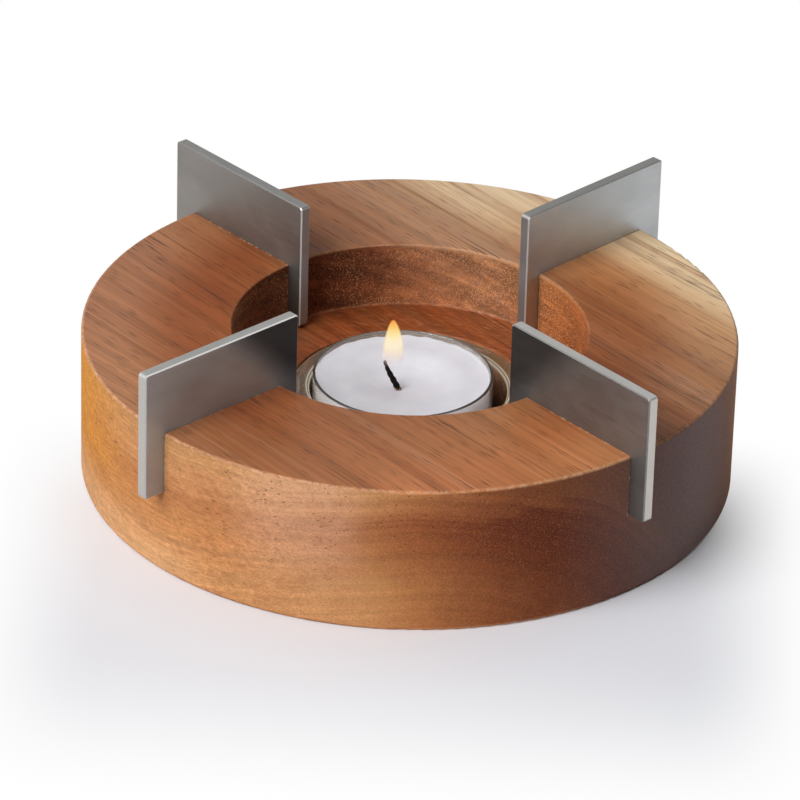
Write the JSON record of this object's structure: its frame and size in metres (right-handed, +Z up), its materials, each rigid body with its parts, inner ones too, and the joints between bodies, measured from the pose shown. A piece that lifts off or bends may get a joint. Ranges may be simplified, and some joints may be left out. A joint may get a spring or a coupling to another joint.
{
  "type": "teapot warmer",
  "caption": "Low turned wooden ring warmer with upright steel plates that carry a pot over a tealight, which stands in a clear glass cup sunk into the ring.",
  "frame": {"origin": "centre of the ring's flat underside", "axes": "+Z up; the plates stand close to the diagonals of X and Y, and -Y is the front of the picture"},
  "size_m": [0.14, 0.14, 0.0482],
  "materials": {
    "turned_wood": "oiled, close-grained reddish-brown hardwood",
    "satin_steel": "satin ground stainless sheet",
    "clear_glass": "thick clear pressed glass",
    "clear_plastic": "thin clear moulded plastic",
    "candle_wax": "white candle wax, partly melted",
    "charred_cotton": "burnt braided cotton",
    "tinned_steel": "thin tinned sheet"
  },
  "bodies": {
    "ring": {"wooden_ring": "turned_wood"},
    "plate_front_left": {"front_left_plate": "satin_steel"},
    "plate_front_right": {"front_right_plate": "satin_steel"},
    "plate_rear_right": {"rear_right_plate": "satin_steel"},
    "plate_rear_left": {"rear_left_plate": "satin_steel"},
    "glass": {"glass_cup": "clear_glass"},
    "tealight": {"candle_cup": "clear_plastic", "wax": "candle_wax", "wick": "charred_cotton", "wick_sustainer": "tinned_steel"}
  },
  "joints": [
    {"name": "front_left_plate_lift", "type": "slide", "parent": "ring", "child": "plate_front_left", "axis": [0, 0, 1], "range_m": [0, 0.015]},
    {"name": "front_right_plate_lift", "type": "slide", "parent": "ring", "child": "plate_front_right", "axis": [0, 0, 1], "range_m": [0, 0.015]},
    {"name": "rear_right_plate_lift", "type": "slide", "parent": "ring", "child": "plate_rear_right", "axis": [0, 0, 1], "range_m": [0, 0.015]},
    {"name": "rear_left_plate_lift", "type": "slide", "parent": "ring", "child": "plate_rear_left", "axis": [0, 0, 1], "range_m": [0, 0.015]},
    {"name": "glass_lift", "type": "slide", "parent": "ring", "child": "glass", "axis": [0, 0, 1], "range_m": [0, 0.03]},
    {"name": "tealight_lift", "type": "slide", "parent": "glass", "child": "tealight", "axis": [0, 0, 1], "range_m": [0, 0.028]}
  ]
}
